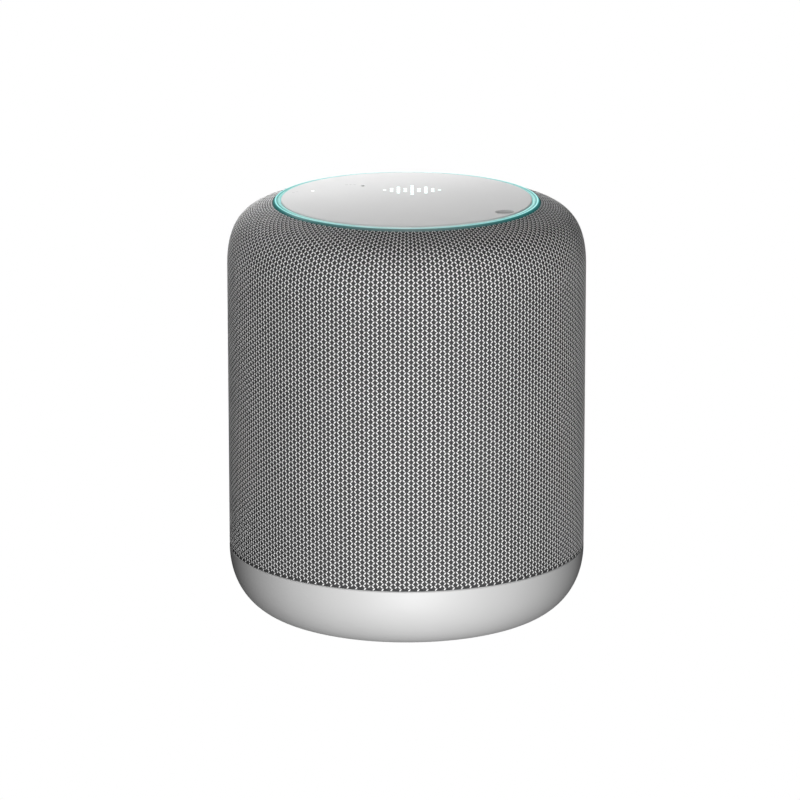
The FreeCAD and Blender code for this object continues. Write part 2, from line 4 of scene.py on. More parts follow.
import bpy
import numpy as np
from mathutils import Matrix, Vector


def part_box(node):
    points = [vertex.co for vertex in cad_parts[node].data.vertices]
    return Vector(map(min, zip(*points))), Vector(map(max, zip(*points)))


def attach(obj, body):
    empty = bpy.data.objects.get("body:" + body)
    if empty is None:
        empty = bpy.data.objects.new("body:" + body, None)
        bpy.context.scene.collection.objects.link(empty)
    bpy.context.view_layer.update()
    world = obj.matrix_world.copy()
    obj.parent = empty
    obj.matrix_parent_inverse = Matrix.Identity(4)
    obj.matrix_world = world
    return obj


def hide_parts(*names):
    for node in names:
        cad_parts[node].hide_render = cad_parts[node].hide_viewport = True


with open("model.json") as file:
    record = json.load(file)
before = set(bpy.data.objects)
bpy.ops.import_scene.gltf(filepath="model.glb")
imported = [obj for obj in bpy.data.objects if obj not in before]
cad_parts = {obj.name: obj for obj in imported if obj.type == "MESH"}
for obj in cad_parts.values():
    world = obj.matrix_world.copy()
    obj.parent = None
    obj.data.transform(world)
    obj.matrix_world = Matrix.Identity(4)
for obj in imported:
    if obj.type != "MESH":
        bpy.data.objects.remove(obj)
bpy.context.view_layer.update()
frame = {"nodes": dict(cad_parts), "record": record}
cadNodes = frame["nodes"]

# everything is in metres, in the frame's own axes: front faces -Y, the table is z = 0
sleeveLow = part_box("fabric_sleeve")[0]
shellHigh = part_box("base_shell")[1]
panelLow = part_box("top_panel")[0]
keyLow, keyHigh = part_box("action_key")
footLow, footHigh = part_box("rubber_foot")
pinLow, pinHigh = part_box("jack_pin")

drum = {
    "radius": 0.065,
    "shoulderHeight": 0.12935,     # the straight side ends here
    "mouthRadius": 0.0488,
    "mouthHeight": 0.1520,
    "mouthSlope": 22.4,            # degrees below level, going outwards
    "shoulderLowPull": 0.0204,
    "shoulderTopPull": 0.0058,
    "shoulderBend": 0.0216,        # a layer set in by this much would have no shoulder left
}


def deselectAll():
    if bpy.context.object and bpy.context.object.mode != "OBJECT":
        bpy.ops.object.mode_set(mode="OBJECT")
    bpy.ops.object.select_all(action="DESELECT")


def pickOnly(piece, others=()):
    deselectAll()
    for other in others:
        other.select_set(True)
    piece.select_set(True)
    bpy.context.view_layer.objects.active = piece


def bezier(first, firstPull, lastPull, last, steps):
    points = []
    for step in range(steps + 1):
        t = step / steps
        weights = ((1 - t) ** 3, 3 * (1 - t) ** 2 * t, 3 * (1 - t) * t * t, t ** 3)
        corners = (first, firstPull, lastPull, last)
        points.append(tuple(sum(w * c[axis] for w, c in zip(weights, corners)) for axis in (0, 1)))
    return points


def shoulder(inset, steps):
    # the shoulder's curve from the straight side up to the mouth, as (radius, height)
    shrink = 1 - inset / drum["shoulderBend"]
    slope = math.radians(drum["mouthSlope"])
    side = drum["radius"] - inset
    mouth = (drum["mouthRadius"] - inset * math.sin(slope), drum["mouthHeight"] - inset * math.cos(slope))
    lowPull = (side, drum["shoulderHeight"] + drum["shoulderLowPull"] * shrink)
    topReach = drum["shoulderTopPull"] * shrink
    topPull = (mouth[0] + topReach * math.cos(slope), mouth[1] - topReach * math.sin(slope))
    return bezier((side, drum["shoulderHeight"]), lowPull, topPull, mouth, steps)


def lathe(name, outline, sides=192):
    # a ring of points on the first place of the outline, extruded along the rest of it
    tiny = 0.000001
    mergeDistance = 0.000008
    deselectAll()
    radius = max(outline[0][0], tiny)
    height = outline[0][1]
    bpy.ops.mesh.primitive_circle_add(vertices=sides, radius=radius, location=(0, 0, height))
    piece = bpy.context.object
    piece.name = name
    bpy.ops.object.transform_apply(location=True)
    bpy.ops.object.mode_set(mode="EDIT")
    bpy.ops.mesh.select_all(action="SELECT")
    for nextRadius, nextHeight in outline[1:]:
        nextRadius = max(nextRadius, tiny)
        grow = nextRadius / radius
        bpy.ops.mesh.extrude_region_move(TRANSFORM_OT_translate={"value": (0, 0, nextHeight - height)})
        bpy.ops.transform.resize(value=(grow, grow, 1), center_override=(0, 0, nextHeight))
        radius = nextRadius
        height = nextHeight
    bpy.ops.mesh.select_all(action="SELECT")
    bpy.ops.mesh.remove_doubles(threshold=mergeDistance)
    bpy.ops.mesh.normals_make_consistent(inside=False)
    bpy.ops.object.mode_set(mode="OBJECT")
    return piece


def bevelEdges(piece, width, segments=2, angle=35):
    pickOnly(piece)
    bevel = piece.modifiers.new("edgeRound", "BEVEL")
    bevel.width = width
    bevel.segments = segments
    bevel.limit_method = "ANGLE"
    bevel.angle_limit = math.radians(angle)
    bpy.ops.object.modifier_apply(modifier=bevel.name)


def smoothByAngle(piece, angle=35):
    pickOnly(piece)
    bpy.ops.object.shade_smooth_by_angle(angle=math.radians(angle))


def cutWith(piece, cutter, operation="DIFFERENCE"):
    pickOnly(piece)
    boolean = piece.modifiers.new("cut", "BOOLEAN")
    boolean.operation = operation
    boolean.solver = "EXACT"
    boolean.object = cutter
    bpy.ops.object.modifier_apply(modifier=boolean.name)
    bpy.data.objects.remove(cutter)


def moveMesh(piece, offset):
    pickOnly(piece)
    piece.location = offset
    bpy.ops.object.transform_apply(location=True)


def wear(piece, material):
    piece.data.materials.clear()
    piece.data.materials.append(material)


class Finish:
    # one node material, with short calls for the patterns that several finishes share
    def __init__(self, name, color, roughness, metallic=0.0):
        self.material = bpy.data.materials.new(name)
        self.material.use_nodes = True
        self.nodes = self.material.node_tree.nodes
        self.links = self.material.node_tree.links
        self.shader = self.nodes["Principled BSDF"]
        self.shader.inputs["Base Color"].default_value = (*color, 1)
        self.shader.inputs["Roughness"].default_value = roughness
        self.shader.inputs["Metallic"].default_value = metallic
        self.coordinates = self.nodes.new("ShaderNodeTexCoord")
        self.color = color
        self.roughness = roughness

    def noise(self, scale, detail=3.0, stretch=(1, 1, 1)):
        mapping = self.nodes.new("ShaderNodeMapping")
        mapping.inputs["Scale"].default_value = stretch
        noise = self.nodes.new("ShaderNodeTexNoise")
        noise.inputs["Scale"].default_value = scale
        noise.inputs["Detail"].default_value = detail
        self.links.new(self.coordinates.outputs["Object"], mapping.inputs["Vector"])
        self.links.new(mapping.outputs["Vector"], noise.inputs["Vector"])
        return noise.outputs["Fac"]

    def spread(self, value, low, high):
        mapRange = self.nodes.new("ShaderNodeMapRange")
        mapRange.inputs["From Min"].default_value = 0.3
        mapRange.inputs["From Max"].default_value = 0.7
        mapRange.inputs["To Min"].default_value = low
        mapRange.inputs["To Max"].default_value = high
        self.links.new(value, mapRange.inputs["Value"])
        return mapRange.outputs["Result"]

    def shade(self, value, amount):
        # the base colour, made lighter and darker by amount where value is high and low
        ramp = self.nodes.new("ShaderNodeValToRGB")
        ramp.color_ramp.elements[0].position = 0.3
        ramp.color_ramp.elements[1].position = 0.7
        ramp.color_ramp.elements[0].color = (*[c * (1 - amount) for c in self.color], 1)
        ramp.color_ramp.elements[1].color = (*[min(1, c * (1 + amount)) for c in self.color], 1)
        self.links.new(value, ramp.inputs["Fac"])
        self.links.new(ramp.outputs["Color"], self.shader.inputs["Base Color"])
        return ramp.outputs["Color"]

    def uneven(self, value, amount):
        rough = self.spread(value, self.roughness - amount, self.roughness + amount)
        self.links.new(rough, self.shader.inputs["Roughness"])

    def bump(self, value, strength, distance):
        bump = self.nodes.new("ShaderNodeBump")
        bump.inputs["Strength"].default_value = strength
        bump.inputs["Distance"].default_value = distance
        self.links.new(value, bump.inputs["Height"])
        self.links.new(bump.outputs["Normal"], self.shader.inputs["Normal"])


def radiusOf(finish):
    # distance from the drum's axis
    separate = finish.nodes.new("ShaderNodeSeparateXYZ")
    flat = finish.nodes.new("ShaderNodeCombineXYZ")
    length = finish.nodes.new("ShaderNodeVectorMath")
    length.operation = "LENGTH"
    finish.links.new(finish.coordinates.outputs["Object"], separate.inputs["Vector"])
    finish.links.new(separate.outputs["X"], flat.inputs["X"])
    finish.links.new(separate.outputs["Y"], flat.inputs["Y"])
    finish.links.new(flat.outputs["Vector"], length.inputs[0])
    return length.outputs["Value"]


def satinSilver(name, look):
    finish = Finish(name, look["color"], look["roughness"], look["metallic"])
    finish.shade(finish.noise(look["cloudScale"], 2.0), look["cloud"])
    finish.uneven(finish.noise(look["flakeScale"] * 0.5, 2.0), look["roughnessSpread"])
    finish.bump(finish.noise(look["flakeScale"], 2.0), look["flake"], look["flakeDepth"])
    finish.shader.inputs["Specular IOR Level"].default_value = look["specular"]
    return finish.material


def colorSteps(finish, value, steps):
    # a colour ramp with one element per (position, colour) step
    ramp = finish.nodes.new("ShaderNodeValToRGB")
    elements = ramp.color_ramp.elements
    elements[0].position = steps[0][0]
    elements[0].color = (*steps[0][1], 1)
    elements[1].position = steps[-1][0]
    elements[1].color = (*steps[-1][1], 1)
    for position, color in steps[1:-1]:
        elements.new(position).color = (*color, 1)
    finish.links.new(value, ramp.inputs["Fac"])
    return ramp.outputs["Color"]


def mapped(finish, value, fromRange, toRange):
    mapRange = finish.nodes.new("ShaderNodeMapRange")
    mapRange.inputs["From Min"].default_value = fromRange[0]
    mapRange.inputs["From Max"].default_value = fromRange[1]
    mapRange.inputs["To Min"].default_value = toRange[0]
    mapRange.inputs["To Max"].default_value = toRange[1]
    finish.links.new(value, mapRange.inputs["Value"])
    return mapRange.outputs["Result"]


def glowingRing(look):
    # colour and glow follow the ring's steps; the LED glow is real, but it is painted fullest at the two
    # sides and dimmer at the front, and the body colour is painted shade, lighter at the front and near black
    # at the sides
    finish = Finish("ringGlow", look["body"][0][1], look["roughness"])
    place = mapped(finish, radiusOf(finish), (look["inner"], look["outer"]), (0, 1))
    finish.links.new(colorSteps(finish, place, look["glow"]), finish.shader.inputs["Emission Color"])
    separate = finish.nodes.new("ShaderNodeSeparateXYZ")
    aside = finish.nodes.new("ShaderNodeMath")
    aside.operation = "ABSOLUTE"
    finish.links.new(finish.coordinates.outputs["Object"], separate.inputs["Vector"])
    finish.links.new(separate.outputs["X"], aside.inputs[0])
    # painted light: the glow is weaker at the front than at the two sides
    paintedGlowRange = (look["paintedFrontGlow"] * look["strength"], look["strength"])
    paintedGlowBySide = mapped(finish, aside.outputs["Value"], (0, look["inner"]), paintedGlowRange)
    finish.links.new(paintedGlowBySide, finish.shader.inputs["Emission Strength"])
    body = finish.nodes.new("ShaderNodeMix")
    body.data_type = "RGBA"
    body.blend_type = "MULTIPLY"
    body.inputs["Factor"].default_value = 1.0
    finish.links.new(colorSteps(finish, place, look["body"]), body.inputs["A"])
    # painted shade: the body colour falls to a small share towards the two sides
    paintedShadeFactor = mapped(finish, aside.outputs["Value"], (0, look["inner"]), (1, look["paintedSideShade"]))
    finish.links.new(paintedShadeFactor, body.inputs["B"])
    finish.links.new(body.outputs["Result"], finish.shader.inputs["Base Color"])
    finish.shader.inputs["Specular IOR Level"].default_value = look["specular"]
    finish.uneven(finish.noise(look["cloudScale"], 2.0), look["roughnessSpread"])
    finish.bump(finish.noise(look["grainScale"], 2.0), look["grain"], look["grainDepth"])
    return finish.material


def knitLook(name, look):
    # the pattern follows the cloth: V counts half rows, so each dash of yarn is light in its middle and
    # painted darker towards its ends, as shade where the legs dive into the cloth
    finish = Finish(name, look["light"], look["roughness"])
    uv = finish.nodes.new("ShaderNodeUVMap")
    uv.uv_map = "OFBake"
    separate = finish.nodes.new("ShaderNodeSeparateXYZ")
    halfRows = finish.nodes.new("ShaderNodeMath")
    halfRows.operation = "MULTIPLY"
    halfRows.inputs[1].default_value = look["halfRows"]
    wrap = finish.nodes.new("ShaderNodeMath")
    wrap.operation = "PINGPONG"
    wrap.inputs[1].default_value = 0.5
    dash = finish.nodes.new("ShaderNodeValToRGB")
    dash.color_ramp.interpolation = "EASE"
    # the ramp's dark end is painted shade at the diving ends of the legs
    dash.color_ramp.elements[0].position = look["dipEnd"]
    dash.color_ramp.elements[1].position = look["lightStart"]
    dash.color_ramp.elements[0].color = (*look["paintedDiveShade"], 1)
    dash.color_ramp.elements[1].color = (*look["light"], 1)
    finish.links.new(uv.outputs["UV"], separate.inputs["Vector"])
    finish.links.new(separate.outputs["Y"], halfRows.inputs[0])
    finish.links.new(halfRows.outputs["Value"], wrap.inputs[0])
    finish.links.new(wrap.outputs["Value"], dash.inputs["Fac"])
    tint = finish.nodes.new("ShaderNodeMix")
    tint.data_type = "RGBA"
    tint.blend_type = "MULTIPLY"
    tint.inputs["Factor"].default_value = 1.0
    speckle = finish.spread(finish.noise(look["speckleScale"], 2.0), 1 - look["speckle"], 1.0)
    finish.links.new(dash.outputs["Color"], tint.inputs["A"])
    finish.links.new(speckle, tint.inputs["B"])
    finish.links.new(tint.outputs["Result"], finish.shader.inputs["Base Color"])
    finish.bump(finish.noise(look["fibreScale"], 2.0, (1, 1, 0.25)), look["fibre"], look["fibreDepth"])
    finish.shader.inputs["Specular IOR Level"].default_value = look["specular"]
    return finish.material


knit = {
    "columns": 256,                # strands of yarn round the drum
    "sectors": 8,
    "rowPitch": 0.00191,
    "legHalfLength": 0.00057,      # each stitch is two slanted legs, one half row above the other
    "legHalfWidth": 0.00024,
    "legTilt": 39,                 # degrees from upright
    "legShift": 0.00019,
    "legTaper": 0.85,              # how far a leg narrows, and below how far it dives, at its two ends
    "legDive": 0.6,
    "legSink": 0.00002,
    "relief": 0.00015,
    "backingInset": 0.00012,
    "backingThickness": 0.00035,
    "hemIn": 0.00033,              # the cloth's last step, in under the ring
    "hemUp": 0.00006,
}
columnPitch = 2 * math.pi * drum["radius"] / knit["columns"]


def sleeveProfile():
    # radius, height and outward normal against the length of cloth up from the seam
    steps = 400
    hem = (drum["mouthRadius"] - knit["hemIn"], drum["mouthHeight"] + knit["hemUp"])
    points = np.array([(drum["radius"], sleeveLow[2])] + shoulder(0, steps) + [hem])
    lengths = np.concatenate([[0], np.cumsum(np.hypot(*np.diff(points, axis=0).T))])
    tangents = np.gradient(points, lengths, axis=0)
    tangents[0] = (0, 1)
    tangents[1] = (0, 1)
    tangents /= np.hypot(*tangents.T)[:, None]
    normals = np.stack([tangents[:, 1], -tangents[:, 0]], axis=1)
    return lengths, points, normals


clothLengths, clothPoints, clothNormals = sleeveProfile()
clothLength = clothLengths[-1]
rows = int(round(clothLength / knit["rowPitch"]))
rowPitch = clothLength / rows


def wrapOnDrum(piece, firstAngle):
    # bends a flat patch (x round the drum, y up the cloth, z off its face) onto the drum
    mesh = piece.data
    flat = np.zeros(len(mesh.vertices) * 3)
    mesh.vertices.foreach_get("co", flat)
    flat = flat.reshape(-1, 3)
    along = np.clip(flat[:, 1], 0, clothLength)
    radius = np.interp(along, clothLengths, clothPoints[:, 0])
    height = np.interp(along, clothLengths, clothPoints[:, 1])
    normalOut = np.interp(along, clothLengths, clothNormals[:, 0])
    normalUp = np.interp(along, clothLengths, clothNormals[:, 1])
    angle = firstAngle + flat[:, 0] / drum["radius"]
    radius = radius + normalOut * flat[:, 2]
    height = height + normalUp * flat[:, 2]
    placed = np.stack([radius * np.cos(angle), radius * np.sin(angle), height], axis=1)
    mesh.vertices.foreach_set("co", placed.ravel())
    mesh.update()


def arrayOf(piece, count, offset):
    pickOnly(piece)
    array = piece.modifiers.new("repeat", "ARRAY")
    array.count = count
    array.use_relative_offset = False
    array.use_constant_offset = True
    array.constant_offset_displace = offset
    bpy.ops.object.modifier_apply(modifier=array.name)


def yarnLeg(side, height):
    # one plump leg of yarn, leaning to the right or to the left as it goes up
    deselectAll()
    bpy.ops.mesh.primitive_grid_add(x_subdivisions=3, y_subdivisions=5, size=1)
    leg = bpy.context.object
    tilt = math.radians(knit["legTilt"]) * side
    middle = columnPitch / 2 + side * knit["legShift"]
    low = knit["backingInset"] + knit["legSink"]
    for vertex in leg.data.vertices:
        across = vertex.co.x * 2
        along = math.sin(vertex.co.y * math.pi)
        taper = math.sqrt(1 - knit["legTaper"] * along ** 4)
        x = knit["legHalfWidth"] * across * taper
        y = knit["legHalfLength"] * along
        vertex.co.x = middle + x * math.cos(tilt) + y * math.sin(tilt)
        vertex.co.y = height + y * math.cos(tilt) - x * math.sin(tilt)
        vertex.co.z = knit["relief"] * (1 - across ** 2) * (1 - knit["legDive"] * along ** 2) - low
    return leg


def dropPastTheEnd(patch):
    # the raised strand sticks out past the cloth's upper end
    pickOnly(patch)
    bpy.ops.object.mode_set(mode="EDIT")
    bpy.ops.mesh.select_mode(type="FACE")
    bpy.ops.mesh.select_all(action="DESELECT")
    bpy.ops.object.mode_set(mode="OBJECT")
    for polygon in patch.data.polygons:
        polygon.select = polygon.center.y > clothLength
    bpy.ops.object.mode_set(mode="EDIT")
    bpy.ops.mesh.delete(type="FACE")
    bpy.ops.mesh.select_mode(type="VERT")
    bpy.ops.object.mode_set(mode="OBJECT")


def yarnPatch():
    # two legs, repeated up a strand, then beside itself half a row higher, then round a sector
    patch = yarnLeg(1, rowPitch * 0.25)
    second = yarnLeg(-1, rowPitch * 0.75)
    pickOnly(patch, [second])
    bpy.ops.object.join()
    patch.name = "yarnPatch"
    arrayOf(patch, rows, (0, rowPitch, 0))
    arrayOf(patch, 2, (columnPitch, rowPitch / 2, 0))
    dropPastTheEnd(patch)
    pairs = knit["columns"] // knit["sectors"] // 2
    arrayOf(patch, pairs, (columnPitch * 2, 0, 0))
    mesh = patch.data
    sectorWidth = columnPitch * pairs * 2
    loopVertices = np.zeros(len(mesh.loops), dtype=int)
    mesh.loops.foreach_get("vertex_index", loopVertices)
    places = np.zeros(len(mesh.vertices) * 3)
    mesh.vertices.foreach_get("co", places)
    places = places.reshape(-1, 3)[loopVertices]
    faceCentres = np.zeros(len(mesh.polygons) * 3)
    mesh.polygons.foreach_get("center", faceCentres)
    column = np.floor(faceCentres.reshape(-1, 3)[:, 0] / columnPitch).astype(int)
    odd = np.repeat(column % 2, 4)
    bakeMap = mesh.uv_layers.new(name="OFBake")
    u = places[:, 0] / (sectorWidth + columnPitch) * 0.5 + odd * 0.5
    v = places[:, 1] / (clothLength + rowPitch)
    bakeMap.data.foreach_set("uv", np.stack([u, v], axis=1).ravel())
    return patch


def knitSectors(material):
    patch = yarnPatch()
    sectors = []
    for number in range(knit["sectors"]):
        pickOnly(patch)
        bpy.ops.object.duplicate()
        sector = bpy.context.object
        sector.name = "knitYarn" + str(number + 1)
        wrapOnDrum(sector, number * 2 * math.pi / knit["sectors"] + math.pi / 2)
        for polygon in sector.data.polygons:
            polygon.use_smooth = True
        wear(sector, material)
        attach(sector, "housing")
        sectors.append(sector)
    bpy.data.objects.remove(patch)
    return sectors


def knitBacking(material):
    inset = knit["backingInset"]
    inner = inset + knit["backingThickness"]
    steps = 28
    outer = [(drum["radius"] - inset, sleeveLow[2])] + shoulder(inset, steps)
    inside = [(drum["radius"] - inner, sleeveLow[2])] + shoulder(inner, steps)
    outline = outer + inside[::-1] + [outer[0]]
    backing = lathe("knitBacking", outline, 256)
    smoothByAngle(backing, 50)
    wear(backing, material)
    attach(backing, "housing")
    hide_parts("fabric_sleeve")
    return backing


yarnLook = {
    # the dark colour is painted shade where the yarn dives, not the yarn's own colour
    "light": (0.78, 0.78, 0.78), "paintedDiveShade": (0.12, 0.12, 0.122), "roughness": 0.75, "specular": 0.2,
    "halfRows": 2 * (rows + 1), "dipEnd": 0.0, "lightStart": 0.22,
    "speckle": 0.18, "speckleScale": 700,
    "fibre": 0.35, "fibreScale": 9000, "fibreDepth": 0.00004,
}
backingLook = {
    "color": (0.035, 0.035, 0.036), "roughness": 0.9, "mottle": 0.3,
    "weave": 0.5, "weaveScale": 1600, "weaveDepth": 0.0001,
}


# the backing's near-black is partly the dark under-layer's own colour and partly painted shade inside the
# holes
def backingWithPaintedShade(look):
    finish = Finish("knitBacking", look["color"], look["roughness"])
    finish.shade(finish.noise(look["weaveScale"], 2.0), look["mottle"])
    finish.bump(finish.noise(look["weaveScale"] * 2, 2.0), look["weave"], look["weaveDepth"])
    return finish.material


yarnMaterial = knitLook("knitYarn", yarnLook)
backing = knitBacking(backingWithPaintedShade(backingLook))
yarns = knitSectors(yarnMaterial)
print("knitted sleeve:", rows, "rows,", knit["columns"], "strands")


bowl = {
    "rimChamfer": 0.00035, "seamGap": 0.00015, "floor": 0.001, "floorRadius": 0.048, "wall": 0.0024,
    "rimPull": 0.01556, "floorPull": 0.00693,
    "insidePull": 0.88,            # the inside curve's pulls, as a share of the outside's
    "grooveSlack": 0.0002, "footInner": 0.0327,
    "recessRadius": 0.005, "recessFront": 0.05, "recessBack": 0.07,
    "collarWall": 0.0024, "collarFront": 0.0579, "collarBack": 0.066, "collarSink": 0.0001,
}
silverLook = {
    "color": (0.52, 0.52, 0.52), "metallic": 0.06, "specular": 0.25,
    "roughness": 0.50, "roughnessSpread": 0.05,
    "cloud": 0.02, "cloudScale": 40, "flake": 0.12, "flakeScale": 4200, "flakeDepth": 0.00001,
}


def backBar(radius, front, back, sides=64):
    # a round bar along Y, for the power inlet at the back
    deselectAll()
    middle = (0, (front + back) / 2, (pinLow[2] + pinHigh[2]) / 2)
    bpy.ops.mesh.primitive_cylinder_add(vertices=sides, radius=radius, depth=back - front, location=middle,
                                        rotation=(math.pi / 2, 0, 0))
    bar = bpy.context.object
    bpy.ops.object.transform_apply(location=True, rotation=True)
    return bar


def baseBowl(material):
    rim = (drum["radius"], shellHigh[2] - bowl["seamGap"] - bowl["rimChamfer"])
    floor = (bowl["floorRadius"], bowl["floor"])
    grooveTop = footHigh[2]
    grooveOut = footHigh[0] + bowl["grooveSlack"]
    grooveIn = bowl["footInner"] - bowl["grooveSlack"]
    outline = [(0, bowl["floor"]), (grooveIn, bowl["floor"]), (grooveIn, grooveTop), (grooveOut, grooveTop),
               (grooveOut, bowl["floor"])]
    floorPull = (floor[0] + bowl["floorPull"], floor[1])
    outside = bezier(floor, floorPull, (rim[0], rim[1] - bowl["rimPull"]), rim, 40)
    outline += outside
    seam = rim[1] + bowl["rimChamfer"]
    insideRim = (drum["radius"] - bowl["wall"], seam)
    insideFloor = (floor[0], floor[1] + bowl["wall"])
    outline += [(drum["radius"] - bowl["rimChamfer"], seam)]
    insideRimPull = (insideRim[0], insideRim[1] - bowl["rimPull"] * bowl["insidePull"])
    insideFloorPull = (insideFloor[0] + bowl["floorPull"] * bowl["insidePull"], insideFloor[1])
    outline += bezier(insideRim, insideRimPull, insideFloorPull, insideFloor, 20)
    outline += [(0, insideFloor[1])]
    shell = lathe("baseBowl", outline, 256)
    # the inlet's collar stops just under the bowl's own surface
    collar = backBar(bowl["recessRadius"] + bowl["collarWall"], bowl["collarFront"], bowl["collarBack"])
    under = [(radius - bowl["collarSink"], height) for radius, height in outside]
    block = lathe("bowlBlock", [(0, floor[1])] + under + [(0, rim[1]), (0, floor[1])], 256)
    cutWith(collar, block, "INTERSECT")
    cutWith(shell, collar, "UNION")
    cutWith(shell, backBar(bowl["recessRadius"], bowl["recessFront"], bowl["recessBack"]))
    smoothByAngle(shell, 30)
    wear(shell, material)
    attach(shell, "housing")
    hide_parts("base_shell")


baseBowl(satinSilver("satinSilver", silverLook))
print("base bowl")


footShape = {
    "edge": 0.0004,
    "groovePlaces": (0.36, 0.64),  # across the sole, from its inner edge
    "grooveHalf": 0.0004, "grooveFloorHalf": 0.0002, "grooveDepth": 0.00035,
}


def rubberFoot():
    # a ring with eased edges and two shallow grip grooves on its sole
    inner = bowl["footInner"]
    outer = footHigh[0]
    top = footHigh[2]
    sole = footLow[2]
    edge = footShape["edge"]
    half = footShape["grooveHalf"]
    floorHalf = footShape["grooveFloorHalf"]
    groove = footShape["grooveDepth"]
    outline = [(inner, top), (inner, sole + edge), (inner + edge, sole)]
    for place in footShape["groovePlaces"]:
        middle = inner + (outer - inner) * place
        outline += [(middle - half, sole), (middle - floorHalf, sole + groove)]
        outline += [(middle + floorHalf, sole + groove), (middle + half, sole)]
    outline += [(outer - edge, sole), (outer, sole + edge), (outer, top), (inner, top)]
    foot = lathe("rubberFoot", outline, 128)
    smoothByAngle(foot, 30)
    finish = Finish("footRubber", (0.035, 0.035, 0.037), 0.75)
    finish.shade(finish.noise(300), 0.15)
    finish.bump(finish.noise(3500), 0.3, 0.00005)
    wear(foot, finish.material)
    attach(foot, "housing")
    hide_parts("rubber_foot")


rubberFoot()
print("rubber foot")


panel = {
    "radius": 0.0454, "rimHeight": 0.1532, "dish": 0.0005,
    "edge": [(0, 0.00035), (0.00003, 0.00022), (0.0001, 0.00012),     # how far in, and how far down
             (0.00022, 0.00005), (0.0005, 0.00001), (0.0008, 0)],
    "microphonePlace": (-0.01605, 0.0230), "microphoneRadius": 0.00075, "microphoneFlare": 0.0001,
    "keyHoleRadius": 0.0032, "keyHoleFlare": 0.00022,
    "drillLow": 0.150, "drillHigh": 0.155,
}
lights = {
    "dotCentre": (0.002, 0.0163), "dotRadius": 0.00065, "columnPitch": 0.0025, "rowPitch": 0.0023,
    "dotColumns": (1, 3, 5, 3, 7, 3, 5, 3, 1),                         # dots in each column, left to right
    "statusPlace": (-0.0341, 0.0137), "statusRadius": 0.0006,
    "depth": 0.0006, "rise": 0.00003,
    "dotColor": (0.78, 0.93, 0.92), "dotStrength": 0.85,
    "statusColor": (0.95, 1.0, 1.0), "statusStrength": 0.9,
    "roughness": 0.3, "mottle": 0.06, "mottleScale": 800,
}
keyPlace = ((keyLow[0] + keyHigh[0]) / 2, (keyLow[1] + keyHigh[1]) / 2)


def panelHeight(place):
    rise = (place[0] ** 2 + place[1] ** 2) / panel["radius"] ** 2
    return panel["rimHeight"] - panel["dish"] * (1 - rise)


def dotPlaces():
    places = []
    middle = (len(lights["dotColumns"]) - 1) / 2
    for column, count in enumerate(lights["dotColumns"]):
        x = lights["dotCentre"][0] + (column - middle) * lights["columnPitch"]
        for row in range(count):
            y = lights["dotCentre"][1] + (row - (count - 1) / 2) * lights["rowPitch"]
            places.append((x, y))
    return places


def holeCutter(place, radius, flare, sides=48):
    # a straight drill with a small flare where it meets the face
    face = panelHeight(place)
    low = panel["drillLow"]
    high = panel["drillHigh"]
    outline = [(0, low), (radius, low), (radius, face - flare), (radius + flare, face)]
    outline += [(radius + flare, high), (0, high)]
    cutter = lathe("cutter", outline, sides)
    moveMesh(cutter, (place[0], place[1], 0))
    return cutter


def touchPanel(material):
    radius = panel["radius"]
    outline = [(0, panelLow[2]), (radius, panelLow[2])]
    outline += [(radius - inset, panelHeight((radius - inset, 0)) - drop) for inset, drop in panel["edge"]]
    rings = 22
    flat = outline[-1][0]
    for step in range(rings):
        place = flat * (1 - (step + 1) / rings)
        outline.append((place, panelHeight((place, 0))))
    face = lathe("touchPanel", outline, 144)
    cutWith(face, holeCutter(keyPlace, panel["keyHoleRadius"], panel["keyHoleFlare"], 96))
    drill = holeCutter(panel["microphonePlace"], panel["microphoneRadius"], panel["microphoneFlare"], 32)
    cutWith(face, drill)
    smoothByAngle(face, 30)
    wear(face, material)
    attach(face, "housing")
    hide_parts("top_panel")


panelLook = {
    "color": (0.64, 0.64, 0.64), "roughness": 0.50, "roughnessSpread": 0.05, "metallic": 0.0, "specular": 0.1,
    "cloud": 0.015, "cloudScale": 30, "flake": 0.10, "flakeScale": 4200, "flakeDepth": 0.00001,
}
touchPanel(satinSilver("panelSilver", panelLook))


def lensDot(place, radius):
    # a round lens just proud of the face
    face = panelHeight(place)
    rise = lights["rise"]
    outline = [(radius, face - lights["depth"]), (radius, face), (radius * 0.93, face + rise * 0.8),
               (radius * 0.6, face + rise), (0, face + rise)]
    dot = lathe("dot", outline, 20)
    moveMesh(dot, (place[0], place[1], 0))
    smoothByAngle(dot, 50)
    return dot


def glowMaterial(name, color, strength):
    finish = Finish(name, color, lights["roughness"])
    mottled = finish.shade(finish.noise(lights["mottleScale"], 1.0), lights["mottle"])
    finish.links.new(mottled, finish.shader.inputs["Emission Color"])
    finish.shader.inputs["Emission Strength"].default_value = strength
    return finish.material


def joinPieces(pieces, name):
    pickOnly(pieces[0], pieces[1:])
    bpy.ops.object.join()
    whole = bpy.context.object
    whole.name = name
    return whole


dots = joinPieces([lensDot(place, lights["dotRadius"]) for place in dotPlaces()], "ledDots")
wear(dots, glowMaterial("dotGlow", lights["dotColor"], lights["dotStrength"]))
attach(dots, "housing")
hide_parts("led_dots")

statusDot = lensDot(lights["statusPlace"], lights["statusRadius"])
statusDot.name = "statusDot"
wear(statusDot, glowMaterial("statusGlow", lights["statusColor"], lights["statusStrength"]))
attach(statusDot, "housing")
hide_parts("status_lens")


marks = {
    "strokes": [(-0.0220, 0.0245, 0.0011), (-0.0205, 0.0249, 0.0008), (-0.0191, 0.0248, 0.0010),
                (-0.0411, 0.0105, 0.0009), (-0.0398, 0.0118, 0.0009)],      # x, y and width
    "height": 0.00022, "thickness": 0.00004, "edge": 0.000015,
    "ink": (0.30, 0.30, 0.31), "roughness": 0.5, "mottle": 0.2, "mottleScale": 3000,
}


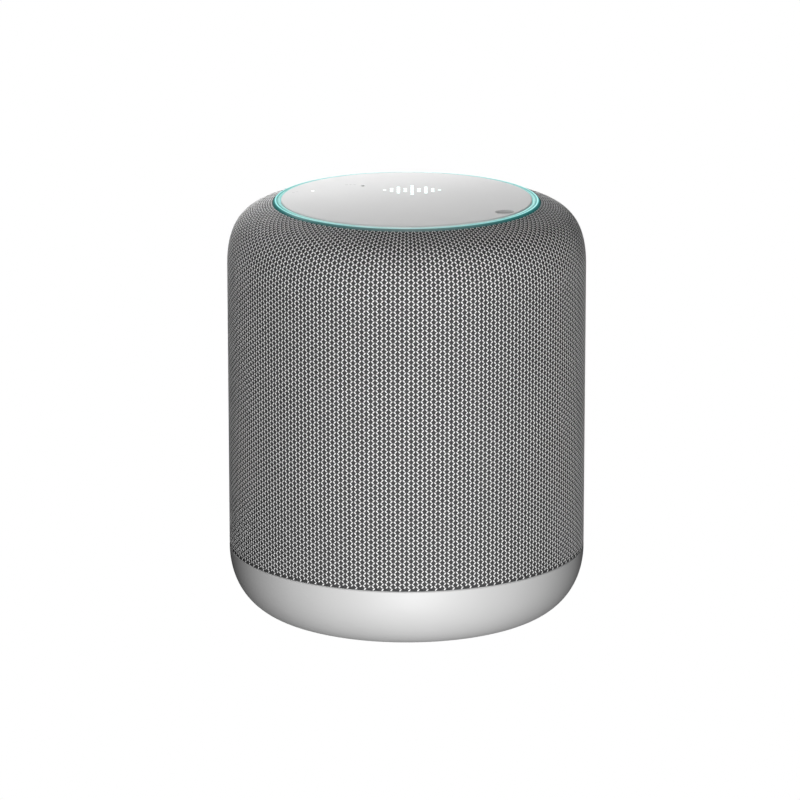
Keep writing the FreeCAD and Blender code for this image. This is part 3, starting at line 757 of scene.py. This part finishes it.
def printedMarks():
    # plain dashes printed beside the microphone hole and by the status light
    bars = []
    for x, y, width in marks["strokes"]:
        deselectAll()
        face = panelHeight((x, y))
        bpy.ops.mesh.primitive_cube_add(size=1, location=(x, y, face))
        bar = bpy.context.object
        bar.scale = (width, marks["height"], marks["thickness"])
        bpy.ops.object.transform_apply(location=True, scale=True)
        bevelEdges(bar, marks["edge"], 1)
        bars.append(bar)
    printed = joinPieces(bars, "printedMarks")
    finish = Finish("markInk", marks["ink"], marks["roughness"])
    finish.shade(finish.noise(marks["mottleScale"]), marks["mottle"])
    wear(printed, finish.material)
    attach(printed, "housing")


printedMarks()


keyShape = {
    "capRadius": 0.0030, "flangeThickness": 0.00065, "dish": 0.00022, "dishSteps": 8,
    "edge": 0.00025, "edgeMiddle": 0.00008,
}


def actionKey(material):
    # a cap with an eased edge and a shallow dish for the finger, on the flange that keeps it in
    capRadius = keyShape["capRadius"]
    edge = keyShape["edge"]
    edgeMiddle = keyShape["edgeMiddle"]
    steps = keyShape["dishSteps"]
    top = keyHigh[2]
    flangeRadius = (keyHigh[0] - keyLow[0]) / 2
    flangeTop = keyLow[2] + keyShape["flangeThickness"]
    outline = [(0, keyLow[2]), (flangeRadius, keyLow[2]), (flangeRadius, flangeTop), (capRadius, flangeTop),
               (capRadius, top - edge), (capRadius - edgeMiddle, top - edgeMiddle), (capRadius - edge, top)]
    for step in range(1, steps + 1):
        place = (capRadius - edge) * (1 - step / steps)
        depth = keyShape["dish"] * (1 - (place / capRadius) ** 2)
        outline.append((place, top - depth))
    key = lathe("actionKey", outline, 64)
    moveMesh(key, (keyPlace[0], keyPlace[1], 0))
    smoothByAngle(key, 40)
    wear(key, material)
    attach(key, "key")
    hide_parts("action_key")


actionKey(satinSilver("keySilver", panelLook))
print("touch panel, key and marks")

ringShape = {
    "foot": [(0.0456, 0.1505), (0.0484, 0.1505)],
    "outerWall": [(0.0484, 0.15185), (0.04833, 0.15205), (0.0481, 0.15235), (0.0479, 0.15258)],
    "crest": [(0.04768, 0.15278), (0.0475, 0.15288), (0.04735, 0.1529), (0.0472, 0.15287)],
    "groove": [(0.04707, 0.15279), (0.04696, 0.15268), (0.04685, 0.15262), (0.04674, 0.15268)],
    "innerBand": [(0.0466, 0.15279), (0.04645, 0.15286), (0.0461, 0.15288), (0.0459, 0.15287)],
    "innerWall": [(0.04572, 0.15281), (0.04563, 0.1527), (0.0456, 0.1525), (0.0456, 0.1505)],
}
ringLook = {
    "inner": 0.0456, "outer": 0.0484,
    # the smaller share of glow at the front is painted light, and the small share of body colour at the sides
    # is painted shade
    "strength": 0.82, "paintedFrontGlow": 0.42, "paintedSideShade": 0.05,     # the glow, and shares of glow and body colour
    "roughness": 0.35, "roughnessSpread": 0.06, "cloudScale": 900, "specular": 0.15,
    "grain": 0.1, "grainScale": 2500, "grainDepth": 0.00001,
    # colours from the inner edge (0) to the outer edge (1); the dark steps near the outer edge are painted
    # shade of the gap to the cloth
    "glow": [(0.0, (0.30, 0.72, 0.70)), (0.10, (0.12, 0.56, 0.52)), (0.36, (0.10, 0.50, 0.46)),
             (0.43, (0.03, 0.26, 0.24)), (0.50, (0.08, 0.40, 0.38)), (0.56, (0.24, 0.82, 0.80)),
             (0.70, (0.24, 0.82, 0.80)), (0.77, (0.03, 0.24, 0.23)), (1.0, (0.01, 0.09, 0.09))],
    "body": [(0.0, (0.66, 0.70, 0.70)), (0.70, (0.66, 0.70, 0.70)), (0.78, (0.16, 0.18, 0.18)),
             (1.0, (0.13, 0.14, 0.14))],
}


def lightRing():
    outline = [point for stretch in ringShape.values() for point in stretch]
    ring = lathe("lightRing", outline, 256)
    smoothByAngle(ring, 40)
    wear(ring, glowingRing(ringLook))
    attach(ring, "housing")
    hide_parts("light_ring")


lightRing()
print("light ring")


# the inner pieces keep their own shape and get a finish for their slot:
# colour, roughness, metallic, noise scale and amount of light and dark
innerFinishes = {
    "foot_rubber": ((0.05, 0.05, 0.05), 0.8, 0.0, 1500, 0.2),
    "screw_steel": ((0.55, 0.55, 0.56), 0.35, 1.0, 2500, 0.1),
    "board_laminate": ((0.02, 0.13, 0.06), 0.45, 0.0, 600, 0.2),
    "chip_black": ((0.02, 0.02, 0.022), 0.55, 0.0, 3000, 0.2),
    "plated_steel": ((0.60, 0.60, 0.62), 0.35, 1.0, 900, 0.1),
    "bare_aluminium": ((0.75, 0.75, 0.77), 0.32, 1.0, 1200, 0.1),
    "capacitor_sleeve": ((0.03, 0.03, 0.06), 0.3, 0.0, 500, 0.15),
    "jack_black": ((0.025, 0.025, 0.028), 0.35, 0.0, 1500, 0.15),
    "pin_nickel": ((0.78, 0.76, 0.72), 0.2, 1.0, 2500, 0.06),
    "ribbon_white": ((0.80, 0.80, 0.77), 0.5, 0.0, 700, 0.06),
    "housing_black": ((0.03, 0.03, 0.033), 0.6, 0.0, 2600, 0.2),
    "gasket_foam": ((0.08, 0.08, 0.08), 0.95, 0.0, 3500, 0.35),
    "basket_grey": ((0.10, 0.10, 0.11), 0.45, 0.3, 2200, 0.2),
    "magnet_ferrite": ((0.10, 0.095, 0.095), 0.7, 0.0, 900, 0.25),
    "former_amber": ((0.70, 0.40, 0.09), 0.35, 0.0, 1200, 0.1),
    "coil_copper": ((0.72, 0.34, 0.16), 0.3, 1.0, 4000, 0.2),
    "cone_fibre": ((0.06, 0.06, 0.065), 0.85, 0.0, 1800, 0.3),
    "surround_rubber": ((0.03, 0.03, 0.03), 0.5, 0.0, 900, 0.15),
    "spider_cloth": ((0.62, 0.48, 0.22), 0.8, 0.0, 2600, 0.3),
    "lead_red": ((0.55, 0.03, 0.03), 0.35, 0.0, 1200, 0.1),
    "radiator_steel": ((0.14, 0.14, 0.15), 0.4, 0.6, 1600, 0.15),
    "antenna_brass": ((0.78, 0.58, 0.26), 0.3, 1.0, 1800, 0.12),
    "led_white": ((0.90, 0.86, 0.62), 0.4, 0.0, 1500, 0.08),
    "reflector_white": ((0.90, 0.90, 0.90), 0.4, 0.0, 900, 0.04),
    "touch_film_clear": ((0.70, 0.58, 0.32), 0.3, 0.0, 400, 0.1),
    "plunger_grey": ((0.25, 0.25, 0.27), 0.5, 0.0, 1800, 0.12),
}
innerGrain = {"finer": 2.2, "strength": 0.2, "depth": 0.00003}


def innerMaterial(slot):
    color, roughness, metallic, scale, amount = innerFinishes[slot]
    finish = Finish(slot, color, roughness, metallic)
    finish.shade(finish.noise(scale), amount)
    finish.bump(finish.noise(scale * innerGrain["finer"]), innerGrain["strength"], innerGrain["depth"])
    return finish.material


innerMaterials = {slot: innerMaterial(slot) for slot in innerFinishes}
for subpart in frame["record"]["subparts"]:
    if subpart["material_slot"] in innerMaterials:
        wear(cadNodes[subpart["node"]], innerMaterials[subpart["material_slot"]])
print("inner pieces")


studio = {
    "world": 0.04,
    "surround": 5.9,
    "front": {"place": (0.02, -0.45, 0.06), "aim": (0, 0, 0.08), "size": (0.2, 0.7), "power": 3.4},
    "back": {"place": (-0.06, 1.40, 0.50), "aim": (0, 0, 0.153), "size": (0.6, 0.45), "power": 2.0},
    "near": {"place": (-0.03, 0.062, 0.212), "aim": (0, 0, 0.153), "size": (0.30, 0.03), "power": 0.178},
}
camera = {
    "elevation": 14.78, "distance": 1.860, "aimHeight": 0.0759,
    "lens": 229.4, "sensor": 36, "shiftX": -0.0083, "shiftY": 0.0070,
}


def areaLight(name, light):
    deselectAll()
    bpy.ops.object.light_add(type="AREA", location=light["place"])
    lamp = bpy.context.object
    lamp.name = name
    lamp.data.shape = "RECTANGLE"
    lamp.data.size = light["size"][0]
    lamp.data.size_y = light["size"][1]
    lamp.data.energy = light["power"]
    lamp.visible_camera = False
    toAim = [a - b for a, b in zip(light["aim"], light["place"])]
    yaw = math.atan2(toAim[0], -toAim[1])
    pitch = math.atan2(math.hypot(toAim[0], toAim[1]), -toAim[2])
    lamp.rotation_euler = (pitch, 0, yaw + math.pi)


def whiteSurround():
    # a plain white ball round it all that is only a background: it neither lights the speaker nor shows in it
    deselectAll()
    bpy.ops.mesh.primitive_uv_sphere_add(segments=48, ring_count=24, radius=studio["surround"])
    ball = bpy.context.object
    ball.name = "backdrop"
    finish = Finish("backdrop", (0, 0, 0), 1.0)
    finish.shader.inputs["Emission Color"].default_value = (1, 1, 1, 1)
    finish.shader.inputs["Emission Strength"].default_value = 1.0
    finish.shader.inputs["Specular IOR Level"].default_value = 0.0
    wear(ball, finish.material)
    ball.visible_diffuse = False
    ball.visible_glossy = False
    ball.visible_transmission = False
    ball.visible_shadow = False


def studioScene():
    whiteSurround()
    world = bpy.data.worlds.new("studio")
    bpy.context.scene.world = world
    world.use_nodes = True
    world.node_tree.nodes["Background"].inputs["Color"].default_value = (1, 1, 1, 1)
    world.node_tree.nodes["Background"].inputs["Strength"].default_value = studio["world"]
    areaLight("frontSoft", studio["front"])
    areaLight("backSoft", studio["back"])
    areaLight("nearSoft", studio["near"])
    bpy.context.scene.view_settings.view_transform = "Standard"


def studioCamera():
    deselectAll()
    elevation = math.radians(camera["elevation"])
    back = camera["distance"] * math.cos(elevation)
    up = camera["distance"] * math.sin(elevation)
    place = (0, -back, camera["aimHeight"] + up)
    bpy.ops.object.camera_add(location=place, rotation=(math.pi / 2 - elevation, 0, 0))
    view = bpy.context.object
    view.name = "studioCamera"
    view.data.lens = camera["lens"]
    view.data.sensor_width = camera["sensor"]
    view.data.shift_x = camera["shiftX"]
    view.data.shift_y = camera["shiftY"]
    bpy.context.scene.camera = view


studioScene()
studioCamera()
print("studio")
